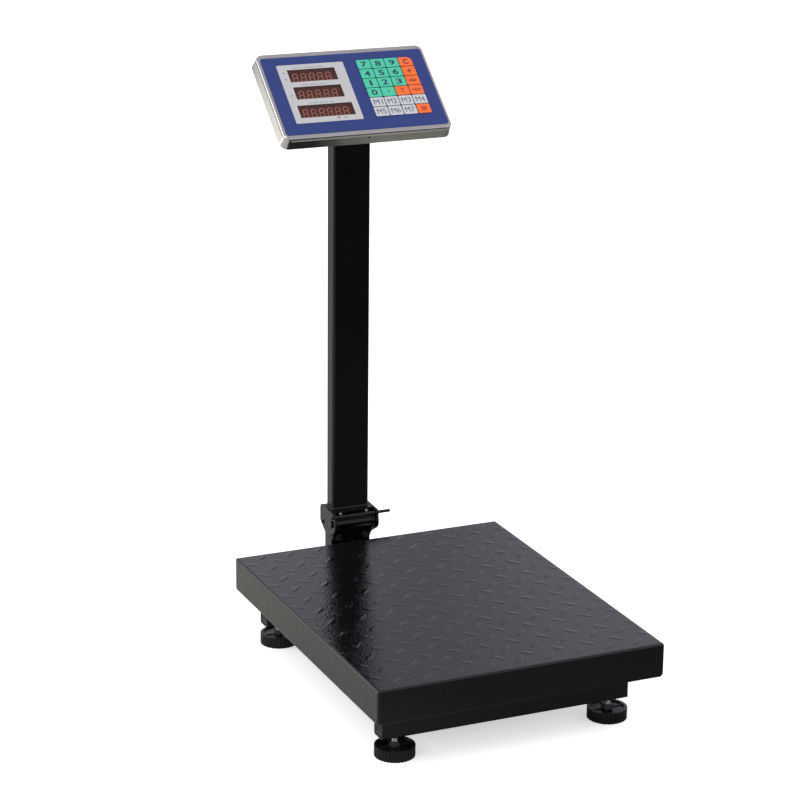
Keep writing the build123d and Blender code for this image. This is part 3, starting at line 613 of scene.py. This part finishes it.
def beam_plug(name, side, y):
    """A plastic plug pushed into a beam's open end, with a shallow dished face."""
    centre_z = base_low.z + beam_tall / 2
    half_y = beam_deep / 2 - beam_wall - plug_play
    half_z = beam_tall / 2 - beam_wall - plug_play
    end = side * base_high.x
    rings = []
    for inward, shrink in PLUG_PROFILE:
        y_reach = half_y - shrink * MM
        z_reach = half_z - shrink * MM
        outline = rounded_outline(-y_reach, -z_reach, y_reach, z_reach, [plug_corner] * 4)
        rings.append([Vector((end - side * inward * MM, y + b, centre_z + c)) for b, c in outline])
    mesh = mesh_of(name, *skin(rings))
    piece(name, mesh, "base", PLUG, smooth=False)


front_beam_y = joints["foot_turn_front_left"]["pos_m"][1]
rear_beam_y = joints["foot_turn_rear_left"]["pos_m"][1]
for row_name, row_y in (("front", front_beam_y), ("rear", rear_beam_y)):
    for side_name, side in (("left", -1), ("right", 1)):
        beam_plug(f"beam_plug_{row_name}_{side_name}", side, row_y)


# ---- weld beads --------------------------------------------------------------------------------------
bead_radius = 1.7 * MM
ripple = 2.6 * MM


def bead_size(distance):
    """A bead's radius, swelling once for each ripple of the weld."""
    return bead_radius * (0.82 + 0.18 * abs(sin(pi * distance / ripple)))


def weld(name, body, lines):
    """Rippled beads along several lines, as one piece."""
    shapes = [tube(spread(line, ripple / 5), bead_size, 8) for line in lines]
    piece(name, mesh_of(name, *joined(shapes)), body, WELD)


channel_half = 30 * MM
channel_top = base_low.z + 25 * MM
stub_front = base_high.y

beam_lines = []
for beam_y, sides in ((front_beam_y, (1,)), (rear_beam_y, (-1, 1))):
    for side in sides:
        y = beam_y + side * beam_deep / 2
        beam_lines.append([(-channel_half, y, channel_top), (channel_half, y, channel_top)])
        for x in (-channel_half, channel_half):
            beam_lines.append([(x, y, base_low.z + 1 * MM), (x, y, channel_top)])
weld("frame_welds", "base", beam_lines)
weld(
    "stub_welds",
    "base",
    [
        [(-channel_half, stub_front, base_low.z + 2 * MM), (-channel_half, stub_front, channel_top)],
        [(-channel_half, stub_front, channel_top), (channel_half, stub_front, channel_top)],
        [(channel_half, stub_front, channel_top), (channel_half, stub_front, base_low.z + 2 * MM)],
    ],
)

column_low, column_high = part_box("column_tube")
column_ring = rounded_outline(
    column_low.x, column_low.y, column_high.x, column_high.y, [5 * MM] * 4, 6
)
weld("column_weld", "column", [[(x, y, column_low.z) for x, y in column_ring + column_ring[:1]]])


# ---- signal cable: the slack length that crosses the folding hinge -----------------------------------
upper_low, upper_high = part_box("signal_cable_upper")
cable_overlap = 2 * MM
lower_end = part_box("signal_cable_lower")[1].z - cable_overlap
upper_start = upper_low.z + cable_overlap
cable_y = (upper_low.y + upper_high.y) / 2
cable_radius = (upper_high.x - upper_low.x) / 2
slack = 7 * MM
loop_steps = 40

loop_path = []
for step in range(loop_steps + 1):
    part = step / loop_steps
    wave = sin(tau * part) * sin(pi * part)
    z = lower_end + (upper_start - lower_end) * part
    loop_path.append((slack * wave, cable_y + slack * 0.5 * wave, z))
loop_mesh = mesh_of("cable_loop", *tube(loop_path, cable_radius, 16))
cable_loop = piece("cable_loop", loop_mesh, None, JACKET)
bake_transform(cable_loop)


# ---- head face: window digits, panel marks, painted shade between the keys and key legends ----------
def bands(node):
    """The separate areas of a node up the head's slope, as (low, high) corners from the top one down."""
    mesh = frame["nodes"][node].data
    places = np.array([to_head @ vertex.co for vertex in mesh.vertices])
    areas = []
    for face in sorted(mesh.polygons, key=lambda face: -places[list(face.vertices), 1].max()):
        low = places[list(face.vertices)].min(0)
        high = places[list(face.vertices)].max(0)
        if areas and high[1] >= areas[-1][0][1]:
            low = np.minimum(low, areas[-1][0])
            high = np.maximum(high, areas[-1][1])
            areas[-1] = (low, high)
        else:
            areas.append((low, high))
    return [(Vector(low), Vector(high)) for low, high in areas]


def bar(start, end, half_width, low, high):
    """A seven-segment bar with pointed ends."""
    start, end = Vector(start), Vector(end)
    along = (end - start).normalized()
    side = Vector((-along.y, along.x)) * half_width
    nose = along * half_width
    outline = [start, start + nose - side, end - nose - side, end, end - nose + side, start + nose + side]
    return plate(outline, low, high)


def disc(x, y, radius, low, high):
    """A small round plate."""
    sides = 16
    turns = [tau * step / sides for step in range(sides)]
    return plate([(x + radius * cos(turn), y + radius * sin(turn)) for turn in turns], low, high)


digit_inset = Vector((5.2, 1.4)) * MM
digit_row_margin = 9 * MM
digit_width = 6.6 * MM
digit_height = 13.4 * MM
digit_lean = 0.1
segment_half = 0.8 * MM
segment_gap = 0.25 * MM
module_top = head_box("digit_modules")[1][2]
segment_low = module_top - 0.02 * MM
segment_high = module_top + 0.06 * MM


def digit(x, y):
    """The seven bars and the point of one unlit digit, leaning to the right."""
    wide, tall, gap = digit_width, digit_height, segment_gap
    bars = [
        ((gap, tall), (wide - gap, tall)),
        ((gap, tall / 2), (wide - gap, tall / 2)),
        ((gap, 0), (wide - gap, 0)),
        ((0, gap), (0, tall / 2 - gap)),
        ((wide, gap), (wide, tall / 2 - gap)),
        ((0, tall / 2 + gap), (0, tall - gap)),
        ((wide, tall / 2 + gap), (wide, tall - gap)),
    ]
    shapes = [bar(start, end, segment_half, segment_low, segment_high) for start, end in bars]
    shapes.append(disc(wide + 2.1 * MM, 0, 0.75 * MM, segment_low, segment_high))
    points, faces = joined(shapes)
    return [Vector((x + p.x + digit_lean * p.y, y + p.y, p.z)) for p in points], faces


windows = bands("display_windows")
digit_counts = (5, 5, 6)
caption_counts = (18, 14, 14)
word_lengths = (7, 5, 6)
digit_shapes = []
for (low, high), count in zip(windows, digit_counts):
    pitch = (high.x - low.x - digit_row_margin) / count
    for place in range(count):
        digit_shapes.append(digit(low.x + digit_inset.x + place * pitch, low.y + digit_inset.y))
piece(
    "display_digits",
    mesh_of("display_digits", *on_head(joined(digit_shapes))),
    "column",
    SEGMENT,
    smooth=False,
)

panel_top = head_box("display_panel")[1][2]
mark_low = panel_top - 0.02 * MM
mark_high = panel_top + 0.05 * MM


def mark(outline):
    """One printed mark on the display's frame."""
    return plate(outline, mark_low, mark_high)


def dash(x, y, wide, tall):
    """A rectangular mark with its lower left corner at a place."""
    return mark([(x, y), (x + wide, y), (x + wide, y + tall), (x, y + tall)])


def caption(x, y, count, skip):
    """A row of plain dashes with a wider gap after every few, where a caption would stand."""
    step = 2.6 * MM
    starts = [x + (place - count / 2) * step for place in range(count) if (place + 1) % skip]
    return [dash(start, y, 1.9 * MM, 1.1 * MM) for start in starts]


def triangle(x, y, half_width, rise):
    """A triangular mark standing on a level line, or hanging from it when rise is below 0."""
    return mark([(x - half_width, y), (x + half_width, y), (x, y + rise)])


panel_marks = []
for (low, high), count, skip in zip(windows, caption_counts, word_lengths):
    panel_marks += caption((low.x + high.x) / 2 - 3 * MM, high.y + 2.6 * MM, count, skip)
first_low, first_high = windows[0]
second_low = windows[1][0]
third_low, third_high = windows[2]
beside = first_low.x - 6 * MM
panel_marks.append(triangle(beside, first_high.y - 6 * MM, 1.6 * MM, 3 * MM))
panel_marks.append(disc(beside, first_low.y + 5 * MM, 1.3 * MM, mark_low, mark_high))
panel_marks.append(disc(beside, second_low.y + 7 * MM, 1.1 * MM, mark_low, mark_high))
piece(
    "panel_marks",
    mesh_of("panel_marks", *on_head(joined(panel_marks))),
    "column",
    INK_FAINT,
    smooth=False,
)

pointer_x = third_high.x - 26 * MM
pointer_y = third_low.y - 2.6 * MM
pointer = triangle(pointer_x, pointer_y, 2.2 * MM, -2.6 * MM)
pointer_dash = dash(pointer_x + 8 * MM, pointer_y - 1.8 * MM, 5 * MM, 1 * MM)
piece(
    "panel_pointer",
    mesh_of("panel_pointer", *on_head(joined([pointer, pointer_dash]))),
    "column",
    INK_NAVY,
    smooth=False,
)

LEGENDS = {
    "7": "7", "8": "8", "9": "9", "clear": "C",
    "4": "4", "5": "5", "6": "6", "add": "+",
    "1": "1", "2": "2", "3": "3", "change": "<>",
    "0": "0", "point": ".", "tare": "T", "zero": ">0<",
    "m1": "M1", "m2": "M2", "m3": "M3", "m4": "M4",
    "m5": "M5", "m6": "M6", "m7": "M7", "total": "=",
}
key_boxes = {name: head_box(f"key_{name}") for name in LEGENDS}
legend_proud = 0.05 * MM
legend_bold = 0.3 * MM


def legend(name, text, width, height, bold, ink):
    """The printed mark of one key, scaled to fit a box in the middle of the key's top."""
    curve = bpy.data.curves.new(f"legend_{name}", "FONT")
    curve.body = text
    curve.size = 12 * MM
    curve.offset = bold
    curve.extrude = legend_proud
    curve.resolution_u = 6
    holder = bpy.data.objects.new("letters", curve)
    scene.collection.objects.link(holder)
    bpy.context.view_layer.update()
    mesh = bpy.data.meshes.new_from_object(holder.evaluated_get(bpy.context.evaluated_depsgraph_get()))
    bpy.data.objects.remove(holder)
    bpy.data.curves.remove(curve)
    mesh.name = f"legend_{name}"
    shape = bmesh.new()
    shape.from_mesh(mesh)
    merge(shape, 0.01 * MM)
    shape.to_mesh(mesh)
    shape.free()
    places = np.array([vertex.co for vertex in mesh.vertices])
    low, high = places.min(0), places.max(0)
    size = high - low
    key_low, key_high = key_boxes[name]
    middle = (key_low + key_high) / 2
    scale = Matrix.Diagonal((width / size[0], height / size[1], 1, 1))
    centred = Matrix.Translation((-(low[0] + high[0]) / 2, -(low[1] + high[1]) / 2, 0))
    mesh.transform(head @ Matrix.Translation((middle[0], middle[1], key_high[2])) @ scale @ centred)
    piece(f"legend_{name}", mesh, f"key_{name}", ink[1], smooth=False)


DIGIT_SIZE = (8.6, 9.2)
NARROW_DIGIT_SIZE = (3.6, 9.2)
MEMORY_SIZE = (13.2, 8.6)
LEGEND_SIZES = {
    "1": NARROW_DIGIT_SIZE,
    "point": (2.6, 2.6),
    "add": (8, 7),
    "change": (12, 6),
    "tare": (6, 7),
    "zero": (13, 6),
    "total": (8, 6),
}
for key_name, text in LEGENDS.items():
    if key_name.startswith("m"):
        ink = ("pale", INK_GREY)
    elif key_name == "point" or key_name.isdigit():
        ink = ("teal", INK_NAVY)
    else:
        ink = ("orange", INK_RED)
    usual = MEMORY_SIZE if key_name.startswith("m") else DIGIT_SIZE
    wide, tall = LEGEND_SIZES.get(key_name, usual)
    bold = legend_bold * {"m": 0.0, "c": 1.8}.get(key_name[0], 1.0)
    legend(key_name, text, wide * MM, tall * MM, bold, ink)

# A dark plate on the film under all the keys: painted shade, which makes the gaps between the keys look dark.
keypad_low = np.min([low for low, high in key_boxes.values()], axis=0)
keypad_high = np.max([high for low, high in key_boxes.values()], axis=0)
film_top = head_box("front_overlay")[1][2]
keypad_inset = 0.2 * MM
keypad_corner = 1.2 * MM
keypad_cut_corner = 8 * MM
keypad_outline = rounded_outline(
    keypad_low[0] + keypad_inset,
    keypad_low[1] + keypad_inset,
    keypad_high[0] - keypad_inset,
    keypad_high[1] - keypad_inset,
    [keypad_corner, keypad_corner, keypad_cut_corner, keypad_corner],
)
key_gap_shade_plate = plate(keypad_outline, film_top - 0.1 * MM, film_top + 0.03 * MM)
piece(
    "keypad_gap_shade",
    mesh_of("keypad_gap_shade", *on_head(key_gap_shade_plate)),
    "column",
    KEY_GAP_SHADE,
    smooth=False,
)

# ---- floor, light and camera -------------------------------------------------------------------------
floor_mesh = bpy.data.meshes.new("floor")
floor_half = 30
floor_corners = [(x * floor_half, y * floor_half, 0) for x, y in ((-1, -1), (1, -1), (1, 1), (-1, 1))]
floor_mesh.from_pydata(floor_corners, [], [(0, 1, 2, 3)])
floor = bpy.data.objects.new("floor", floor_mesh)
scene.collection.objects.link(floor)
floor_tone = (0.88, 0.88, 0.88)
floor_material, floor_tree, floor_shader = recipe("floor", floor_tone, 0.7)
# The camera sees the floor pale all over. Reflections see it bright to the left and behind the object,
# and ever darker to the right and in front, as if flags stood there.
rays = add(floor_tree, "ShaderNodeLightPath")
spot = add(floor_tree, "ShaderNodeNewGeometry").outputs["Position"]
aslant = add(floor_tree, "ShaderNodeVectorMath", {0: spot, 1: (-1, 1, 0)}, operation="DOT_PRODUCT")
leftward = aslant.outputs["Value"]
dark_tone = (0.04, 0.04, 0.04)
grey_tone = (0.17, 0.17, 0.155)
bright_tone = (0.5, 0.5, 0.47)
near_tone = mixed(floor_tree, remap(floor_tree, leftward, 0, 1, -0.5, 0.1), grey_tone, bright_tone)
flagged = mixed(floor_tree, remap(floor_tree, leftward, 0, 1, -1.6, -0.6), dark_tone, near_tone)
seen_tone = mixed(floor_tree, rays.outputs["Is Glossy Ray"], floor_tone, flagged)
link(floor_tree, seen_tone, floor_shader, "Base Color")
floor_shader.inputs["Specular IOR Level"].default_value = 0.1
floor_shader.inputs["Emission Color"].default_value = (1, 1, 1, 1)
lifted = add(floor_tree, "ShaderNodeMath", {0: rays.outputs["Is Camera Ray"], 1: 0.5}, operation="MULTIPLY")
link(floor_tree, lifted.outputs[0], floor_shader, "Emission Strength")
floor_mesh.materials.append(floor_material)

world = bpy.data.worlds.new("studio")
scene.world = world
world.use_nodes = True
sky = world.node_tree
background = sky.nodes["Background"]
# Reflections see a pale purple studio, with a dimmer upright gap between its large lights.
gap_turn = 0.426
gap_tone = (0.40, 0.38, 0.45)
light_tone = (0.80, 0.78, 0.88)
upper_tone = (0.60, 0.58, 0.66)
way = add(sky, "ShaderNodeTexCoord").outputs["Generated"]
across_gap = (cos(gap_turn), -sin(gap_turn), 0)
aside = add(sky, "ShaderNodeVectorMath", {0: way, 1: across_gap}, operation="DOT_PRODUCT")
off_gap = add(sky, "ShaderNodeMath", {0: aside.outputs["Value"]}, operation="ABSOLUTE").outputs[0]
height = add(sky, "ShaderNodeSeparateXYZ", {"Vector": way}).outputs["Z"]
lights = mixed(sky, remap(sky, height, 0, 1, 0.31, 0.38), light_tone, upper_tone)
studio = mixed(sky, remap(sky, off_gap, 0, 1, 0.012, 0.045), gap_tone, lights)
sky_rays = add(sky, "ShaderNodeLightPath")
sky_tone = mixed(sky, sky_rays.outputs["Is Glossy Ray"], (1, 1, 1), studio)
sky.links.new(sky_tone, background.inputs["Color"])
background.inputs["Strength"].default_value = 1.0


def softbox(name, place, aim, size, energy):
    """A large soft light at a place, turned towards a point."""
    lamp = bpy.data.lights.new(name, "AREA")
    lamp.shape = "RECTANGLE"
    lamp.size, lamp.size_y = size
    lamp.energy = energy
    made = bpy.data.objects.new(name, lamp)
    made.location = place
    made.rotation_mode = "QUATERNION"
    made.rotation_quaternion = (Vector(aim) - Vector(place)).to_track_quat("-Z", "Y")
    scene.collection.objects.link(made)


softbox("key_light", (-2.4, -1.2, 2.2), (0, 0.1, 0.4), (1.6, 1.6), 30)
softbox("side_light", (-1.6, 1.0, 0.9), (0, 0.2, 0.6), (0.7, 1.6), 8)
softbox("head_light", (-1.1, 1.3, 0.35), (0, 0.25, 0.74), (0.5, 0.9), 1.6)
softbox("fill_light", (2.2, -2.0, 1.6), (0, 0, 0.4), (1.4, 1.4), 6)

camera_place = Vector((-1.3838, -3.0295, 1.4161))
camera_yaw = 0.4188
camera_pitch = 0.3027
camera_roll = 0.0101
camera_data = bpy.data.cameras.new("photo_camera")
camera_data.lens = 118.6
camera_data.sensor_width = 36.0
camera = bpy.data.objects.new("photo_camera", camera_data)
look = Vector((sin(camera_yaw) * cos(camera_pitch), cos(camera_yaw) * cos(camera_pitch), -sin(camera_pitch)))
side_way = Vector((cos(camera_yaw), -sin(camera_yaw), 0))
camera.rotation_mode = "QUATERNION"
level = Matrix([[side_way[i], side_way.cross(look)[i], -look[i]] for i in range(3)]).to_quaternion()
camera.rotation_quaternion = Quaternion(look, -camera_roll) @ level
camera.location = camera_place
scene.collection.objects.link(camera)
scene.camera = camera
